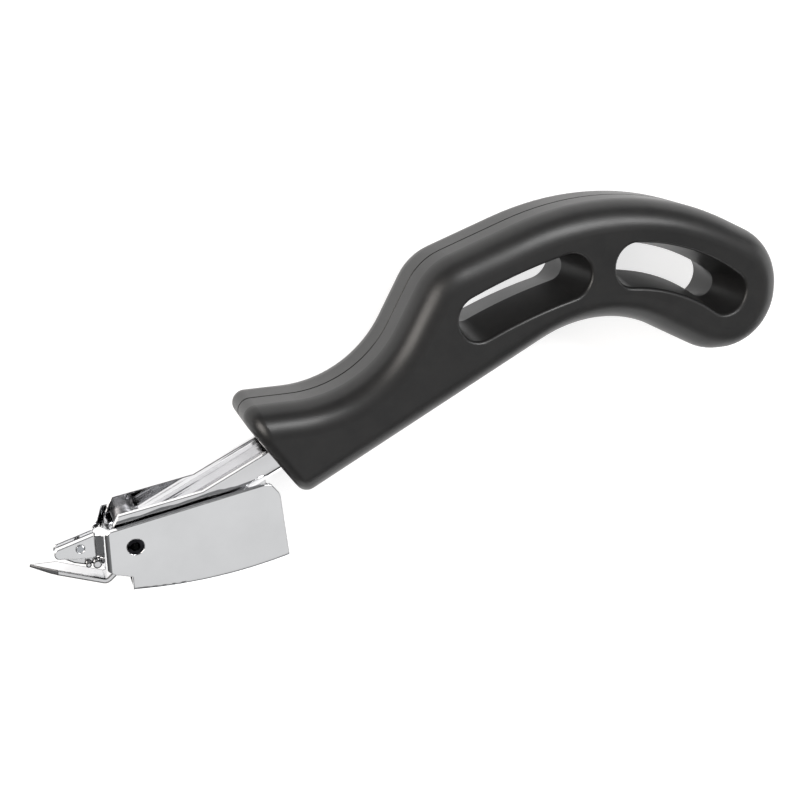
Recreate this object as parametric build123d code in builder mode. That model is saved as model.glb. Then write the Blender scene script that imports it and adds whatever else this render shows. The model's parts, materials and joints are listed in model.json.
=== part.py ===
"""Hand-held pincer staple remover: a sprung chrome rocker head on an S-curved clamshell handle.

The tool lies on its right side, as it is put down on a bench. +X runs from the jaws to the
butt of the handle, +Y is the tool's top and +Z its left side. The origin is the middle of the
bounding box at bench level. Outlines are drawn in millimetres from the pivot pin.
"""

import os

from build123d import *

os.makedirs("parts", exist_ok=True)

# ---- driving dimensions, mm ----
PIVOT_X = -75.0
PIVOT_Y = -30.38
GAP = 0.1

HANDLE_HALF = 12.5
HANDLE_EDGE_R = 7.0
HANDLE_WALL = 2.6
SEAM_GROOVE = 0.3
MOUTH_CORNER = (41.2, 6.5)
MOUTH_ANGLE = 35.0
MOUTH_LIP_R = 3.0
MOUTH_ROOM = 2.6

SLOT_WIDTH = 7.4
SLOT_DRAFT = 9.5
SLOT_OUTER_WIDTH = 11.6
SLOT_WALL = 2.0
SLOT_LIP_R = 1.0
FINGER_SLOTS = (
    ((85.2, 47.5), (97.0, 52.2), (109.2, 55.8)),
    ((127.5, 57.3), (142.3, 54.4), (155.7, 47.7)),
)

SCREW_R = 1.7
SCREW_CLEARANCE_R = 1.85
SCREW_HEAD_R = 3.1
SCREW_HEAD = 2.2
SCREW_SINK = 3.2
SCREW_LENGTH = 16.5
SCREW_CROSS = (3.4, 0.8, 1.2)
BOSS_R = 3.5
TANG_SCREWS = ((48.0, 21.3), (64.0, 29.1))
REAR_SCREWS = ((118.4, 49.6), (166.0, 40.8))

CHEEK_HALF = 6.4
CHEEK_SHEET = 1.2
SHANK_ANGLE = 25.8
SHANK_HEIGHT = 6.6
SHANK_BASE = (33.7, 11.1)
TANG_END = 43.0
CHEEK_BEND_R = 2.4

SHEET = 1.4
BODY_HALF = 8.7
NOSE_HALF = 2.4
SOLE_BEND_R = 1.7
FOLD_BEND_R = 0.8
PLATE_CORNER_R = 2.6
HEIGHT_LIMIT = 30.0

PIN_R = 2.0
PIN_BORE_R = 1.15
PIN_SLIT = 0.8
PIN_SINK = 0.15
BUSH_R = 3.0
RUNNING_CLEARANCE = 0.06
WASHER_R = 4.2

BLADE_SHEET = 1.2
BLADE_HALF = 2.5
TONGUE_HALF = 4.0
RIVET_R = 1.0
RIVET_HEAD_R = 1.8
RIVET_HEAD = 0.6
RIVET_HEAD_DRAFT = 20.0
JAW_RIVETS = (-28.5, -24.0)
NOSE_RIVET = (-12.0, -1.4)

SPRING_SHEET = 0.5
SPRING_HALF = 3.0
SPRING_RIVET_X = 24.0
SPRING_SEAT = 9.4
SPRING_RIVET_LENGTH = 2.7

# The side view, seen on the seam plane, with the pivot pin at its centre.
SIDE = Plane(origin=(PIVOT_X, PIVOT_Y, HANDLE_HALF))
# The plan view, seen from above the tool, through the pivot pin.
PLAN = Plane(origin=(PIVOT_X, PIVOT_Y, HANDLE_HALF), x_dir=(1, 0, 0), z_dir=(0, -1, 0))
# The shank's underside, facing out of the channel's open top.
SHANK = Plane(
    origin=(PIVOT_X + SHANK_BASE[0], PIVOT_Y + SHANK_BASE[1], HANDLE_HALF),
    x_dir=Vector(1, 0, 0).rotate(Axis.Z, SHANK_ANGLE),
    z_dir=Vector(0, 1, 0).rotate(Axis.Z, SHANK_ANGLE),
)
# The handle's front face, facing into the handle.
MOUTH = Plane(
    origin=(PIVOT_X + MOUTH_CORNER[0], PIVOT_Y + MOUTH_CORNER[1], HANDLE_HALF),
    z_dir=Vector(1, 0, 0).rotate(Axis.Z, MOUTH_ANGLE),
)


def along_shank(distance, height):
    """The side-view point this far up the shank from its base, and this far above its underside."""
    run = Vector(distance, height).rotate(Axis.Z, SHANK_ANGLE)
    return (SHANK_BASE[0] + run.X, SHANK_BASE[1] + run.Y)


# ---- handle ----
# Corners of the S-curve, where its straight runs would meet, and the radius that rounds each one.
HANDLE_FRONT_TOP = (12.0, 30.1)
HANDLE_BENDS = (
    ((57.5, 30.1), 29.0),
    ((73.6, 60.3), 15.0),
    ((126.8, 79.7), 80.0),
    ((173.6, 58.3), 17.6),
    ((173.6, 31.1), 15.0),
    ((153.2, 31.1), 17.0),
    ((120.3, 47.6), 36.0),
)
HANDLE_FRONT_BOTTOM = (12.0, -8.9)


def handle_outline():
    """Makes the handle's side outline, with an overlong front that the mouth plane cuts off."""
    corners = [corner for corner, _ in HANDLE_BENDS]
    radii = [radius for _, radius in HANDLE_BENDS]
    with BuildSketch(SIDE) as sketch:
        with BuildLine():
            FilletPolyline(HANDLE_FRONT_TOP, *corners, HANDLE_FRONT_BOTTOM, radius=radii)
            Line(HANDLE_FRONT_BOTTOM, HANDLE_FRONT_TOP)
        make_face()
    return sketch.sketch


def handle_block(lip):
    """Makes the whole handle as a solid, rounded on its edges and by this radius at its mouth."""
    with BuildPart() as block:
        add(handle_outline())
        extrude(amount=HANDLE_HALF, both=True)
        for layer in (0, -1):
            face_edges = block.edges().group_by(Axis.Z)[layer].sort_by(Axis.X)
            fillet(face_edges[1:], HANDLE_EDGE_R)
        split(bisect_by=MOUTH, keep=Keep.TOP)
        if lip:
            front = block.faces().filter_by(MOUTH).sort_by(Axis.X)[0]
            fillet(front.edges(), lip)
    return block.part


def slot_outline(points, width):
    """Makes one finger slot's outline about its curved centreline."""
    with BuildSketch(SIDE) as sketch:
        with BuildLine(mode=Mode.PRIVATE) as centre:
            ThreePointArc(*points)
        SlotArc(centre.edge(), height=width)
    return sketch.sketch


def handle_cavity(side):
    """Makes the space inside one shell: its block, less the slots' walls and the screw bosses."""
    flange_side = SIDE.offset(side * (CHEEK_HALF + GAP / 2))
    with BuildPart() as cavity:
        add(handle_block(0))
        offset(amount=-HANDLE_WALL, kind=Kind.INTERSECTION, mode=Mode.REPLACE)
        split(bisect_by=SIDE, keep=Keep.TOP if side > 0 else Keep.BOTTOM)
        for points in FINGER_SLOTS:
            add(slot_outline(points, SLOT_OUTER_WIDTH + 2 * SLOT_WALL))
            extrude(amount=side * HANDLE_HALF, mode=Mode.SUBTRACT)
        with BuildSketch(SIDE):
            with Locations(*REAR_SCREWS):
                Circle(BOSS_R)
        extrude(amount=side * HANDLE_HALF, mode=Mode.SUBTRACT)
        with BuildSketch(flange_side):
            with Locations(*TANG_SCREWS):
                Circle(BOSS_R)
        extrude(amount=side * HANDLE_HALF, mode=Mode.SUBTRACT)
    return cavity.part


def handle_shell(side):
    """Makes one shell, hollow, with its slots, its half of the mouth and a groove at the seam."""
    low, high = -GAP, SHANK_HEIGHT + MOUTH_ROOM
    mouth = [along_shank(-20, low), along_shank(20, low), along_shank(20, high), along_shank(-20, high)]
    with BuildPart() as shell:
        add(handle_block(MOUTH_LIP_R))
        split(bisect_by=SIDE, keep=Keep.TOP if side > 0 else Keep.BOTTOM)
        seam = shell.faces().sort_by(Axis.Z)[0 if side > 0 else -1]
        chamfer(seam.outer_wire().edges(), SEAM_GROOVE)
        for points in FINGER_SLOTS:
            add(slot_outline(points, SLOT_WIDTH))
            extrude(amount=side * (HANDLE_HALF + 1), taper=-SLOT_DRAFT, mode=Mode.SUBTRACT)
        outer = shell.faces().sort_by(Axis.Z)[-1 if side > 0 else 0]
        fillet([edge for wire in outer.inner_wires() for edge in wire.edges()], SLOT_LIP_R)
        add(handle_cavity(side), mode=Mode.SUBTRACT)
        with BuildSketch(SIDE):
            Polygon(*mouth, align=None)
        extrude(amount=side * (CHEEK_HALF + 3 * GAP), mode=Mode.SUBTRACT)
    return shell.part


with BuildPart() as handle_left_shell:
    add(handle_shell(1))
    with BuildSketch(SIDE):
        with Locations(*TANG_SCREWS, *REAR_SCREWS):
            Circle(SCREW_R)
    extrude(amount=SCREW_LENGTH - HANDLE_HALF + SCREW_SINK + GAP, mode=Mode.SUBTRACT)
handle_left_shell.part.label = "handle_left_shell"

with BuildPart() as handle_right_shell:
    add(handle_shell(-1))
    with BuildSketch(SIDE):
        with Locations(*TANG_SCREWS, *REAR_SCREWS):
            Circle(SCREW_CLEARANCE_R)
    extrude(amount=-HANDLE_HALF, mode=Mode.SUBTRACT)
    with BuildSketch(SIDE.offset(-HANDLE_HALF)):
        with Locations(*TANG_SCREWS, *REAR_SCREWS):
            Circle(SCREW_HEAD_R + 2 * GAP)
    extrude(amount=SCREW_SINK, mode=Mode.SUBTRACT)
handle_right_shell.part.label = "handle_right_shell"

with BuildPart() as handle_screws:
    with BuildSketch(SIDE.offset(SCREW_SINK - HANDLE_HALF)):
        with Locations(*TANG_SCREWS, *REAR_SCREWS):
            Circle(SCREW_R)
    extrude(amount=SCREW_LENGTH)
    chamfer(handle_screws.edges().group_by(Axis.Z)[-1], SCREW_R / 2)
    with BuildSketch(SIDE.offset(SCREW_SINK - HANDLE_HALF)):
        with Locations(*TANG_SCREWS, *REAR_SCREWS):
            Circle(SCREW_HEAD_R)
    extrude(amount=-SCREW_HEAD)
    fillet(handle_screws.edges().group_by(Axis.Z)[0], SCREW_HEAD / 3)
    with BuildSketch(SIDE.offset(SCREW_SINK - HANDLE_HALF - SCREW_HEAD)):
        with Locations(*TANG_SCREWS, *REAR_SCREWS):
            Rectangle(SCREW_CROSS[0], SCREW_CROSS[1])
            Rectangle(SCREW_CROSS[1], SCREW_CROSS[0])
    extrude(amount=SCREW_CROSS[2], mode=Mode.SUBTRACT)
handle_screws.part.label = "handle_screws"

# ---- lever: the channel, its bush and the lower jaw ----
CHEEK_FRONT = ((-5.55, 0.3), (-5.55, 2.1), (-4.35, 5.0), (-3.15, 7.2), (16.8, 10.3))
CHEEK_TOE = (-3.3, -6.2)
flange = [
    *CHEEK_FRONT,
    along_shank(TANG_END, SHANK_HEIGHT),
    along_shank(TANG_END, 0),
    along_shank(-40.6, 0),
    CHEEK_TOE,
]
trough = [
    along_shank(-60, CHEEK_SHEET),
    along_shank(TANG_END + 5, CHEEK_SHEET),
    along_shank(TANG_END + 5, HEIGHT_LIMIT),
    along_shank(-60, HEIGHT_LIMIT),
]

with BuildPart() as lever_channel:
    with BuildSketch(SIDE) as flange_sketch:
        Polygon(*flange, align=None)
        fillet(flange_sketch.vertices().group_by(Axis.Y)[-1], SHANK_HEIGHT / 4)
    extrude(amount=CHEEK_HALF, both=True)
    web_corners = lever_channel.faces().filter_by(SHANK).sort_by(SortBy.AREA)[-1].edges()
    fillet(web_corners.filter_by(GeomType.LINE).sort_by(SortBy.LENGTH)[-2:], CHEEK_BEND_R)
    with BuildSketch(SIDE):
        Polygon(*trough, align=None)
    extrude(amount=CHEEK_HALF - CHEEK_SHEET, both=True, mode=Mode.SUBTRACT)
    trough_floor = lever_channel.faces().filter_by(SHANK).sort_by(SortBy.AREA)[-2:].sort_by(Axis.Y)[-1]
    inner_corners = trough_floor.edges().filter_by(GeomType.LINE).sort_by(SortBy.LENGTH)[-2:]
    fillet(inner_corners, CHEEK_BEND_R - CHEEK_SHEET)
    with BuildSketch(SIDE):
        Circle(BUSH_R)
    extrude(amount=BODY_HALF, both=True, mode=Mode.SUBTRACT)
    with BuildSketch(SIDE):
        with Locations(*TANG_SCREWS):
            Circle(SCREW_CLEARANCE_R)
    extrude(amount=BODY_HALF, both=True, mode=Mode.SUBTRACT)
    with BuildSketch(SHANK):
        with Locations(*[(distance, 0) for distance in JAW_RIVETS]):
            Circle(RIVET_R)
    extrude(amount=CHEEK_SHEET, mode=Mode.SUBTRACT)
lever_channel.part.label = "lever_channel"

BLADE_TIP = (-23.6, -5.1)
BLADE_SHOULDER_X = -17.6
JAW_PATH = (
    along_shank(-21.5, -BLADE_SHEET / 2),
    along_shank(-39.6, -BLADE_SHEET / 2),
    (-6.6, -10.9),
    (-17.7, -6.5),
    BLADE_TIP,
)
JAW_BENDS = (2.5, 1.3, 12.0)
# Half of the lower jaw's plan: a pointed spade with a narrow waist, then the tongue under the web.
JAW_PLAN = (
    (BLADE_TIP[0] - 0.2, 0),
    (BLADE_SHOULDER_X, BLADE_HALF),
    (-3.4, BLADE_HALF),
    (-1.8, TONGUE_HALF),
    (20, TONGUE_HALF),
)
# The wedge ground off the underside, which thins the blade towards its point.
BLADE_GRIND = ((-17.0, -7.6), (-24.2, -4.85), (-26.0, -9.0))

with BuildPart() as lower_jaw:
    with BuildSketch(SIDE):
        with BuildLine() as jaw_line:
            FilletPolyline(*JAW_PATH, radius=JAW_BENDS)
        trace(jaw_line.edges(), line_width=BLADE_SHEET)
    extrude(amount=TONGUE_HALF, both=True)
    with BuildSketch(PLAN):
        with BuildLine():
            Polyline(*JAW_PLAN, *[(x, -y) for x, y in reversed(JAW_PLAN[1:])], close=True)
        make_face()
    extrude(amount=HEIGHT_LIMIT, both=True, mode=Mode.INTERSECT)
    with BuildSketch(SIDE):
        Polygon(*BLADE_GRIND, align=None)
    extrude(amount=TONGUE_HALF, both=True, mode=Mode.SUBTRACT)
    with BuildSketch(SHANK):
        with Locations(*[(distance, 0) for distance in JAW_RIVETS]):
            Circle(RIVET_R)
    extrude(amount=-2 * BLADE_SHEET, mode=Mode.SUBTRACT)
lower_jaw.part.label = "lower_jaw"

with BuildPart() as lower_jaw_rivets:
    rivet_length = BLADE_SHEET + CHEEK_SHEET
    with BuildSketch(SHANK.offset(-BLADE_SHEET)):
        with Locations(*[(distance, 0) for distance in JAW_RIVETS]):
            Circle(RIVET_R)
    extrude(amount=rivet_length)
    with BuildSketch(SHANK.offset(-BLADE_SHEET)):
        with Locations(*[(distance, 0) for distance in JAW_RIVETS]):
            Circle(RIVET_HEAD_R)
    extrude(amount=-RIVET_HEAD, taper=RIVET_HEAD_DRAFT)
lower_jaw_rivets.part.label = "lower_jaw_rivets"

with BuildPart() as pivot_bush:
    with BuildSketch(SIDE):
        Circle(BUSH_R)
        Circle(PIN_R + RUNNING_CLEARANCE, mode=Mode.SUBTRACT)
    extrude(amount=CHEEK_HALF, both=True)
pivot_bush.part.label = "pivot_bush"

# ---- rocker: the folded frame, upper jaw, pin, washers and return spring ----
NOSE_TOP = ((-17.3, -0.95), (-8.7, 1.53))
WALL_TOP = ((-8.7, 2.2), (-7.0, 3.6))
PLATE_TOP = ((-5.5, 4.58), (32.6, 11.05))
PLATE_BACK = ((34.9, 8.0), (36.8, -9.5))
SOLE_MIDDLE = (18.0, -12.3)
SOLE_FRONT = (-1.2, -11.95)
PLATE_FRONT = ((-1.2, -7.6), (-4.9, -6.5), (-7.0, -5.3), (-8.6, -3.9))
NOSE_BOTTOM = ((-9.9, -4.2), (-13.7, -3.85), (-16.2, -3.4))
NOSE_TIP = (-17.9, -2.1)
# Where the folds are along the head: the plate's end, its front bend, the nose's root and its end.
FOLDS = (40.0, -6.2, -8.0, -20.0)
sole_curve = (PLATE_BACK[1], SOLE_MIDDLE, SOLE_FRONT)

with BuildPart() as rocker_frame:
    with BuildSketch(PLAN):
        for side in (1, -1):
            with BuildLine(mode=Mode.PRIVATE) as fold:
                plate_line, nose_line = side * (BODY_HALF - SHEET / 2), side * (NOSE_HALF - SHEET / 2)
                fold_lines = (plate_line, plate_line, nose_line, nose_line)
                FilletPolyline(*zip(FOLDS, fold_lines), radius=FOLD_BEND_R)
            trace(fold.edges(), line_width=SHEET)
    extrude(amount=HEIGHT_LIMIT, both=True)
    with BuildSketch(SIDE):
        with BuildLine():
            inner_sole = ThreePointArc(*[(x, y + SHEET) for x, y in sole_curve])
            below = [(x, -HEIGHT_LIMIT) for x in (PLATE_BACK[1][0], SOLE_FRONT[0])]
            Polyline(inner_sole @ 0, *below, inner_sole @ 1)
        make_face()
    extrude(amount=BODY_HALF, both=True)
    with BuildSketch(SIDE) as frame_outline:
        with BuildLine():
            Polyline(*NOSE_TOP, *WALL_TOP, *PLATE_TOP, *PLATE_BACK)
            ThreePointArc(*sole_curve)
            Polyline(SOLE_FRONT, *PLATE_FRONT, *NOSE_BOTTOM)
            ThreePointArc(NOSE_BOTTOM[-1], NOSE_TIP, NOSE_TOP[0])
        make_face()
        fillet(frame_outline.vertices().sort_by_distance(PLATE_TOP[1])[0:2], PLATE_CORNER_R)
    extrude(amount=BODY_HALF, both=True, mode=Mode.INTERSECT)
    sole_face = rocker_frame.faces().sort_by(Axis.Y)[0]
    long_edges = sole_face.edges().sort_by(SortBy.LENGTH)[-2:]
    fillet(long_edges, SOLE_BEND_R)
    with BuildSketch(SIDE):
        Circle(PIN_R)
    extrude(amount=BODY_HALF, both=True, mode=Mode.SUBTRACT)
    with BuildSketch(SIDE):
        with Locations(NOSE_RIVET):
            Circle(RIVET_R)
    extrude(amount=BODY_HALF, both=True, mode=Mode.SUBTRACT)
    with BuildSketch(PLAN):
        with Locations((SPRING_RIVET_X, 0)):
            Circle(RIVET_R)
    extrude(amount=HEIGHT_LIMIT, mode=Mode.SUBTRACT)
rocker_frame.part.label = "rocker_frame"

STAPLE_STOPS = (((-10.4, -5.9), 0.65), ((-8.4, -6.1), 1.0))
INSERT_TIP = (-17.6, -2.5)
INSERT_OUTLINE = (
    (-17.0, -1.75),
    (-8.3, 0.75),
    (-5.2, 0.75),
    (-5.2, -3.6),
    (-7.3, -6.2),
    (-10.9, -6.3),
    (-13.5, -5.45),
    (-16.3, -3.75),
)
INSERT_HALF = NOSE_HALF - SHEET

with BuildPart() as upper_jaw:
    with BuildSketch(SIDE):
        with BuildLine():
            Polyline(*INSERT_OUTLINE)
            ThreePointArc(INSERT_OUTLINE[-1], INSERT_TIP, INSERT_OUTLINE[0])
        make_face()
        with Locations(NOSE_RIVET):
            Circle(RIVET_R, mode=Mode.SUBTRACT)
    extrude(amount=INSERT_HALF, both=True)
    with BuildSketch(SIDE):
        for place, radius in STAPLE_STOPS:
            with Locations(place):
                Circle(radius)
    extrude(amount=NOSE_HALF, both=True)
upper_jaw.part.label = "upper_jaw"

with BuildPart() as upper_jaw_rivet:
    with BuildSketch(SIDE):
        with Locations(NOSE_RIVET):
            Circle(RIVET_R)
    extrude(amount=NOSE_HALF, both=True)
    for side in (1, -1):
        with BuildSketch(SIDE.offset(side * NOSE_HALF)):
            with Locations(NOSE_RIVET):
                Circle(RIVET_R)
        extrude(amount=side * GAP * 2, taper=45)
upper_jaw_rivet.part.label = "upper_jaw_rivet"

with BuildPart() as pivot_pin:
    with BuildSketch(SIDE):
        Circle(PIN_R)
        Circle(PIN_BORE_R, mode=Mode.SUBTRACT)
        with Locations((-PIN_R, 0)):
            Rectangle(2 * PIN_R, PIN_SLIT, mode=Mode.SUBTRACT)
    extrude(amount=BODY_HALF - PIN_SINK, both=True)
pivot_pin.part.label = "pivot_pin"


def pivot_washer(side):
    """Makes the spacer washer that keeps one cheek off its side plate."""
    with BuildPart() as washer:
        with BuildSketch(SIDE.offset(side * (CHEEK_HALF + GAP / 2))):
            Circle(WASHER_R)
            Circle(PIN_R + RUNNING_CLEARANCE, mode=Mode.SUBTRACT)
        extrude(amount=side * (BODY_HALF - SHEET - CHEEK_HALF - GAP))
    return washer.part


with BuildPart() as pivot_washer_left:
    add(pivot_washer(1))
pivot_washer_left.part.label = "pivot_washer_left"

with BuildPart() as pivot_washer_right:
    add(pivot_washer(-1))
pivot_washer_right.part.label = "pivot_washer_right"

SPRING_PATH = ((28.0, -SPRING_SEAT), (8.0, -10.65), (23.6, 5.3), (27.0, 5.6))
SPRING_BENDS = (1.4, 3.0)

with BuildPart() as return_spring:
    with BuildSketch(SIDE):
        with BuildLine() as spring_line:
            FilletPolyline(*SPRING_PATH, radius=SPRING_BENDS)
        trace(spring_line.edges(), line_width=SPRING_SHEET)
    extrude(amount=SPRING_HALF, both=True)
    with BuildSketch(PLAN.offset(SPRING_SEAT - 2 * SPRING_SHEET)):
        with Locations((SPRING_RIVET_X, 0)):
            Circle(RIVET_R)
    extrude(amount=HEIGHT_LIMIT, mode=Mode.SUBTRACT)
return_spring.part.label = "return_spring"

with BuildPart() as spring_rivet:
    with BuildSketch(PLAN.offset(SPRING_SEAT - SPRING_SHEET / 2)):
        with Locations((SPRING_RIVET_X, 0)):
            Circle(RIVET_R)
    extrude(amount=SPRING_RIVET_LENGTH)
    with BuildSketch(PLAN.offset(SPRING_SEAT - SPRING_SHEET / 2)):
        with Locations((SPRING_RIVET_X, 0)):
            Circle(RIVET_HEAD_R)
    extrude(amount=-RIVET_HEAD)
spring_rivet.part.label = "spring_rivet"

pieces = (
    handle_left_shell,
    handle_right_shell,
    handle_screws,
    lever_channel,
    lower_jaw,
    lower_jaw_rivets,
    pivot_bush,
    rocker_frame,
    upper_jaw,
    upper_jaw_rivet,
    pivot_pin,
    pivot_washer_left,
    pivot_washer_right,
    return_spring,
    spring_rivet,
)
for piece in pieces:
    export_step(piece.part, f"parts/{piece.part.label}.step")
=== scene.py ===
import json
import math

import bmesh
import bpy
from mathutils import Matrix, Vector


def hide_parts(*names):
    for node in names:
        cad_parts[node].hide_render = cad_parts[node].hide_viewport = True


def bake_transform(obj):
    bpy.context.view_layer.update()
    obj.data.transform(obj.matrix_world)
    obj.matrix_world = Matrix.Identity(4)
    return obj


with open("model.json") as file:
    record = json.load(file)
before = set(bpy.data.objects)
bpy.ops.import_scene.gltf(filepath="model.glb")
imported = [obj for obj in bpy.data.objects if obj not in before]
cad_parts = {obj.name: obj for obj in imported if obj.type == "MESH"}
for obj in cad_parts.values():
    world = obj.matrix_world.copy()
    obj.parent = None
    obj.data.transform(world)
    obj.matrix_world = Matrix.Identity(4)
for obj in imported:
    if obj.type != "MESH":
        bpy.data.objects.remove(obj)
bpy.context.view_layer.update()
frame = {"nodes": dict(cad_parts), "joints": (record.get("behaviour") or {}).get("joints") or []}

MM = 0.001
NODES = frame["nodes"]
HINGE = frame["joints"][0]
PIVOT = Vector(HINGE["pos_m"])


# ---- node helpers ----
class Look:
    """One procedural material, with short calls for the nodes that several of them share."""

    def __init__(self, name):
        self.material = bpy.data.materials.new(name)
        self.material.use_nodes = True
        self.tree = self.material.node_tree
        self.shader = self.tree.nodes["Principled BSDF"]
        self.coords = self.tree.nodes.new("ShaderNodeTexCoord").outputs["Object"]

    def set(self, **values):
        for key, value in values.items():
            self.shader.inputs[key.replace("_", " ")].default_value = value

    def node(self, kind, **values):
        made = self.tree.nodes.new(kind)
        for key, value in values.items():
            if key in made.inputs:
                made.inputs[key].default_value = value
            else:
                setattr(made, key, value)
        return made

    def link(self, a, b):
        self.tree.links.new(a, b)

    def noise(self, scale, detail=4.0, roughness=0.55, stretch=(1, 1, 1), turn=0.0):
        mapping = self.node("ShaderNodeMapping", vector_type="TEXTURE")
        mapping.inputs["Scale"].default_value = stretch
        mapping.inputs["Rotation"].default_value = (0, 0, turn)
        self.link(self.coords, mapping.inputs["Vector"])
        noise = self.node("ShaderNodeTexNoise", Scale=scale, Detail=detail, Roughness=roughness)
        self.link(mapping.outputs["Vector"], noise.inputs["Vector"])
        return noise.outputs["Fac"]

    def span(self, value, low, high, out_low, out_high):
        """Maps a value from one range to another, clamped."""
        made = self.node("ShaderNodeMapRange")
        made.inputs["From Min"].default_value = low
        made.inputs["From Max"].default_value = high
        made.inputs["To Min"].default_value = out_low
        made.inputs["To Max"].default_value = out_high
        self.link(value, made.inputs["Value"])
        return made.outputs["Result"]

    def mix(self, factor, dark, light):
        """Mixes two colours by a factor. Either can be a colour or another node's output."""
        made = self.node("ShaderNodeMix", data_type="RGBA")
        self.link(factor, made.inputs["Factor"])
        for socket, value in ((made.inputs[6], dark), (made.inputs[7], light)):
            if isinstance(value, tuple):
                socket.default_value = (*value, 1)
            else:
                self.link(value, socket)
        return made.outputs[2]

    def bump(self, *layers, edge=0.0):
        """Adds bump from (height, strength, distance) layers, over edges rounded off by this radius."""
        normal = None
        if edge:
            normal = self.node("ShaderNodeBevel", samples=8, Radius=edge).outputs["Normal"]
        for height, strength, distance in layers:
            made = self.node("ShaderNodeBump", Strength=strength, Distance=distance)
            self.link(height, made.inputs["Height"])
            if normal is not None:
                self.link(normal, made.inputs["Normal"])
            normal = made.outputs["Normal"]
        self.link(normal, self.shader.inputs["Normal"])

    def near_edge(self, radius, least):
        """One at an edge, nought on the flats this far from it. Duller edges need least nearer to 1."""
        rounded = self.node("ShaderNodeBevel", samples=8, Radius=radius).outputs["Normal"]
        true = self.node("ShaderNodeNewGeometry").outputs["True Normal"]
        dot = self.node("ShaderNodeVectorMath", operation="DOT_PRODUCT")
        self.link(rounded, dot.inputs[0])
        self.link(true, dot.inputs[1])
        return self.span(dot.outputs["Value"], 0.9995, least, 0, 1)


def moulded_plastic():
    """Black plastic with a fine spark-eroded texture, rubbed a little smoother in broad patches."""
    look = Look("moulded_plastic")
    rub = look.noise(24, 3.0)
    mottle = look.noise(220, 5.0, 0.6)
    dark, light = (0.0095, 0.0095, 0.0098), (0.0140, 0.0138, 0.0136)
    shade = look.mix(look.span(mottle, 0.3, 0.7, 0, 1), dark, light)
    look.link(shade, look.shader.inputs["Base Color"])
    look.link(look.span(rub, 0.35, 0.68, 0.33, 0.42), look.shader.inputs["Roughness"])
    grain = look.noise(4200, 2.0, 0.5)
    drag = look.noise(160, 3.0, 0.5)
    look.bump((drag, 0.06, 0.0006), (grain, 0.16, 0.00006))
    look.set(Specular_IOR_Level=0.5, IOR=1.47)
    return look.material


def bright_plate(name, tint, low, high, turn, edge, painted_reflection_level, least=0.80, draw=0.0):
    """Nickel-chrome on pressed steel: a mirror with slight waves, hairlines, draw lines and dulled
    patches, and a darker line along its edges in place of the dark surroundings they reflect.
    """
    look = Look(name)
    cloud = look.noise(70, 4.0)
    body = look.mix(look.span(cloud, 0.35, 0.7, 0, 1), tint, tuple(c * 0.94 for c in tint))
    # The darker line along the edges is painted reflection: base colour darkened near each edge in
    # place of the dark surroundings a real mirror would reflect there.
    painted_reflection_rim = tuple(c * painted_reflection_level for c in tint)
    look.link(look.mix(look.near_edge(edge, least), body, painted_reflection_rim), look.shader.inputs["Base Color"])
    streak = look.noise(260, 6.0, 0.62, (20, 1, 1), turn)
    look.link(look.span(streak, 0.42, 0.75, low, high), look.shader.inputs["Roughness"])
    wave = look.noise(95, 2.0, 0.45)
    drawn = look.noise(330, 1.0, 0.4, (40, 1, 1), turn)
    look.bump((wave, 0.05, 0.0005), (streak, 0.03, 0.00008), (drawn, draw, 0.0007), edge=edge)
    look.set(Metallic=1.0)
    return look.material


def plain_steel(name, dark, light, low, high, scale=600):
    """Steel with a soft mottle and fine marks, for fasteners and other small pieces."""
    look = Look(name)
    mottle = look.noise(scale, 5.0, 0.6)
    shade = look.mix(look.span(mottle, 0.35, 0.65, 0, 1), dark, light)
    look.link(shade, look.shader.inputs["Base Color"])
    look.link(look.span(mottle, 0.3, 0.7, low, high), look.shader.inputs["Roughness"])
    look.bump((look.noise(scale * 3, 3.0), 0.08, 0.00005))
    look.set(Metallic=1.0)
    return look.material


PLASTIC = moulded_plastic()
SHANK_TURN = math.radians(25.8)
JAW_TURN = math.radians(-20)
PLATE = bright_plate("bright_plate", (0.86, 0.865, 0.875), 0.035, 0.11, 0.0, 0.40 * MM, 0.72)
CHANNEL = bright_plate(
    "bright_channel", (0.84, 0.84, 0.85), 0.03, 0.10, SHANK_TURN, 0.36 * MM, 0.45, draw=0.35
)
JAW = bright_plate("bright_jaw", (0.80, 0.80, 0.81), 0.06, 0.18, JAW_TURN, 0.55 * MM, 0.10, 0.985)
RIVET = plain_steel("steel_rivet", (0.42, 0.42, 0.43), (0.60, 0.60, 0.61), 0.22, 0.38)
ZINC = plain_steel("zinc_screw", (0.50, 0.52, 0.55), (0.66, 0.68, 0.71), 0.20, 0.34)
BUSH = plain_steel("bush_steel", (0.20, 0.20, 0.21), (0.36, 0.36, 0.37), 0.3, 0.45, 900)
OXIDE = plain_steel("black_oxide", (0.010, 0.010, 0.012), (0.035, 0.035, 0.040), 0.24, 0.4)
SPRING = plain_steel("spring_steel", (0.16, 0.18, 0.23), (0.30, 0.32, 0.36), 0.2, 0.32)

LOOKS = {
    "handle_left_shell": PLASTIC,
    "handle_right_shell": PLASTIC,
    "handle_screws": ZINC,
    "lever_channel": CHANNEL,
    "lower_jaw": JAW,
    "lower_jaw_rivets": RIVET,
    "pivot_bush": BUSH,
    "rocker_frame": PLATE,
    "upper_jaw": JAW,
    "upper_jaw_rivet": ZINC,
    "pivot_pin": OXIDE,
    "pivot_washer_left": ZINC,
    "pivot_washer_right": ZINC,
    "return_spring": SPRING,
    "spring_rivet": RIVET,
}
for node, material in LOOKS.items():
    mesh = NODES[node].data
    mesh.materials.clear()
    mesh.materials.append(material)

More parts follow.
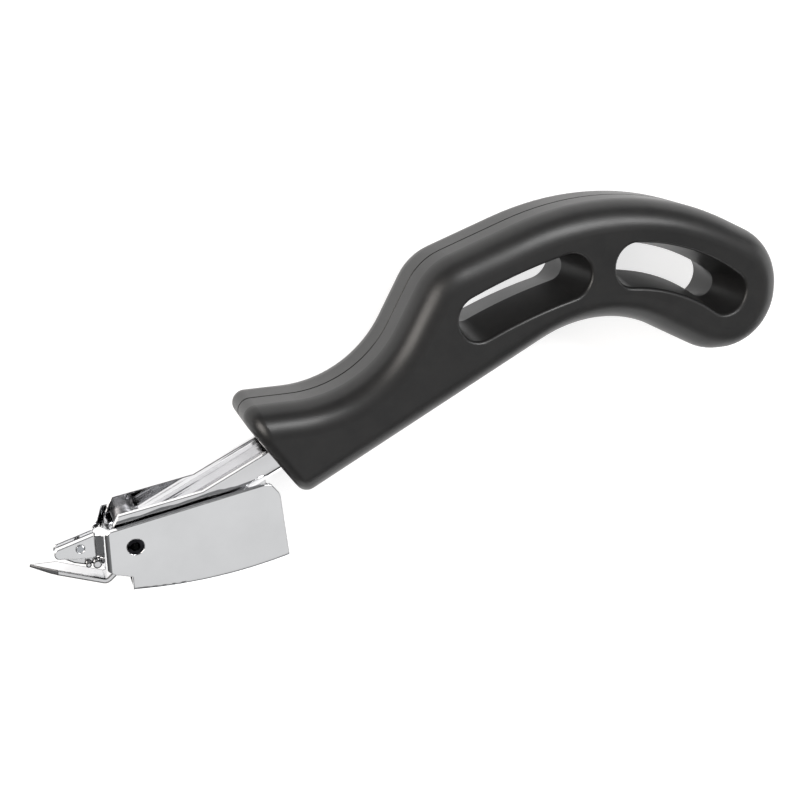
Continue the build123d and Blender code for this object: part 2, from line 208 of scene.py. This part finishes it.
# ---- the leaf spring, which bends between the rocker's sole and the lever's web ----
SPRING_LINE = ((28.0, -9.4), (8.0, -10.65), (23.6, 5.3), (27.0, 5.6))
SPRING_BENDS = (1.4, 3.0)
SPRING_STRIP = (6.0, 0.5)
SPRING_STEP = 0.45
SPRING_TAPER = 0.14
SPRING_END_ROUND = 1.4
SPRING_END_WIDTH = 0.72
BEND_STEPS = 12
CREASE_ANGLE = 35
# Half of the strip's cross-section and then the other, as shares of its half width and half thickness.
SPRING_SECTION = (
    (-1, 0.35),
    (-0.93, 1),
    (0.93, 1),
    (1, 0.35),
    (1, -0.35),
    (0.93, -1),
    (-0.93, -1),
    (-1, -0.35),
)


def rounded_line(points, radii, step):
    """A line of points along these runs, with its corners rounded, evenly spaced in millimetres."""
    corners = [Vector(p) for p in points]
    dense = [corners[0]]
    for before, corner, after, radius in zip(corners, corners[1:], corners[2:], radii):
        to_last, to_next = (before - corner).normalized(), (after - corner).normalized()
        half = to_last.angle(to_next) / 2
        reach = radius / math.tan(half)
        middle = corner + (to_last + to_next).normalized() * radius / math.sin(half)
        first, last = corner + to_last * reach - middle, corner + to_next * reach - middle
        sweep = first.angle_signed(last)
        for share in range(BEND_STEPS + 1):
            angle = -sweep * share / BEND_STEPS
            cos, sin = math.cos(angle), math.sin(angle)
            turned = (first.x * cos - first.y * sin, first.x * sin + first.y * cos)
            dense.append(middle + Vector(turned))
    dense.append(corners[-1])
    line, carried = [dense[0]], 0.0
    for start, end in zip(dense, dense[1:]):
        run = (end - start).length
        while carried + run >= step:
            start = start + (end - start).normalized() * (step - carried)
            run -= step - carried
            carried = 0.0
            line.append(start)
        carried += run
    return line + [dense[-1]]


def leaf_spring():
    """A folded strip with rounded ends and sides, a little narrower towards its free end."""
    line = rounded_line(SPRING_LINE, SPRING_BENDS, SPRING_STEP)
    form = bmesh.new()
    rings = []
    width, thick = SPRING_STRIP[0] / 2, SPRING_STRIP[1] / 2
    count = len(line) - 1
    for index, point in enumerate(line):
        ahead, behind = line[min(index + 1, count)], line[max(index - 1, 0)]
        along = (ahead - behind).normalized()
        out = Vector((-along.y, along.x))
        to_end = min(index, count - index) * SPRING_STEP
        side = width * (1 - SPRING_TAPER * index / count)
        if to_end < SPRING_END_ROUND:
            bulge = math.sqrt(1 - (1 - to_end / SPRING_END_ROUND) ** 2)
            side *= SPRING_END_WIDTH + (1 - SPRING_END_WIDTH) * bulge
        ring = []
        for across, up in SPRING_SECTION:
            flat = point + out * up * thick
            ring.append(form.verts.new(PIVOT + Vector((flat.x, flat.y, across * side)) * MM))
        rings.append(ring)
    for one, two in zip(rings, rings[1:]):
        for here in range(len(SPRING_SECTION)):
            following = (here + 1) % len(SPRING_SECTION)
            form.faces.new((one[here], one[following], two[following], two[here]))
    form.faces.new(rings[0])
    form.faces.new(reversed(rings[-1]))
    bmesh.ops.recalc_face_normals(form, faces=form.faces)
    mesh = bpy.data.meshes.new("return_spring_leaf")
    form.to_mesh(mesh)
    form.free()
    mesh.shade_smooth()
    mesh.set_sharp_from_angle(angle=math.radians(CREASE_ANGLE))
    mesh.materials.append(SPRING)
    piece = bpy.data.objects.new("return_spring_leaf", mesh)
    bpy.context.scene.collection.objects.link(piece)
    return piece


spring = leaf_spring()
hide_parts("return_spring")
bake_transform(spring)

# ---- floor, lights and camera ----
FLOOR_SIZE = 6.0
FLOOR_DROP = 0.0003
floor_mesh = bpy.data.meshes.new("floor")
form = bmesh.new()
bmesh.ops.create_grid(form, x_segments=8, y_segments=8, size=FLOOR_SIZE / 2)
form.to_mesh(floor_mesh)
form.free()
floor = bpy.data.objects.new("floor", floor_mesh)
floor.location.z = -FLOOR_DROP
bpy.context.scene.collection.objects.link(floor)
paper = Look("pale_floor")
paper.link(
    paper.mix(paper.noise(9, 2.0), (0.44, 0.44, 0.44), (0.46, 0.46, 0.46)),
    paper.shader.inputs["Base Color"],
)
paper.set(Roughness=0.85, Emission_Color=(1, 1, 1, 1), Emission_Strength=0.74)
floor.data.materials.append(paper.material)


def softbox(name, place, target, size, power, colour=(1, 1, 1)):
    """One soft studio light, a rectangle turned to face its target."""
    lamp = bpy.data.lights.new(name, "AREA")
    lamp.shape = "RECTANGLE"
    lamp.size, lamp.size_y = size
    lamp.energy = power
    lamp.color = colour
    holder = bpy.data.objects.new(name, lamp)
    holder.location = place
    aim = Vector(target) - Vector(place)
    holder.rotation_euler = aim.to_track_quat("-Z", "Y").to_euler()
    bpy.context.scene.collection.objects.link(holder)


softbox("key", (0.45, 0.62, 0.95), (0.05, 0.0, 0.0), (0.80, 0.26), 11.0)
softbox("left", (-0.80, 0.25, 0.75), (0.0, 0.0, 0.0), (0.70, 0.60), 10.0, (1.0, 0.95, 0.90))
softbox("front_strip", (0.15, -1.20, 0.22), (0.0, 0.0, 0.0), (1.3, 0.34), 2.6)
softbox("right_strip", (1.25, -0.10, 0.25), (0.05, 0.0, 0.0), (1.0, 0.34), 2.6)
softbox("overhead", (0.34, -0.62, 1.05), (0.0, 0.0, 0.0), (1.0, 0.8), 1.35)

world = bpy.data.worlds.new("studio")
bpy.context.scene.world = world
world.use_nodes = True
sky_tree = world.node_tree
sky = sky_tree.nodes["Background"]
sky_coords = sky_tree.nodes.new("ShaderNodeTexCoord")
sky_split = sky_tree.nodes.new("ShaderNodeSeparateXYZ")
sky_ramp = sky_tree.nodes.new("ShaderNodeValToRGB")
sky_tree.links.new(sky_coords.outputs["Generated"], sky_split.inputs["Vector"])
sky_tree.links.new(sky_split.outputs["Z"], sky_ramp.inputs["Fac"])
sky_tree.links.new(sky_ramp.outputs["Color"], sky.inputs["Color"])
SKY_STOPS = ((0.0, 0.05), (0.30, 0.07), (0.7, 0.14), (1.0, 0.26))
for index, (place, level) in enumerate(SKY_STOPS):
    stops = sky_ramp.color_ramp.elements
    stop = stops[index] if index < 2 else stops.new(place)
    stop.position = place
    stop.color = (level * 0.985, level * 0.99, level, 1)
sky.inputs["Strength"].default_value = 1.0

CAMERA_PLACE = PIVOT + Vector((-27.585, 120.570, 256.214)) * MM
CAMERA_RIGHT = Vector((0.93586, 0.0, 0.35237))
CAMERA_FORWARD = Vector((0.33262, -0.33014, -0.88339))
CAMERA_LENS = 51.84

lens = bpy.data.cameras.new("camera")
lens.sensor_width = 36.0
lens.lens = CAMERA_LENS
lens.clip_start, lens.clip_end = 0.01, 20
camera = bpy.data.objects.new("camera", lens)
up = CAMERA_RIGHT.cross(CAMERA_FORWARD)
camera.matrix_world = Matrix.Translation(CAMERA_PLACE) @ Matrix(
    (CAMERA_RIGHT, up, -CAMERA_FORWARD)
).transposed().to_4x4()
bpy.context.scene.collection.objects.link(camera)
bpy.context.scene.camera = camera
bpy.context.scene.view_settings.view_transform = "Standard"
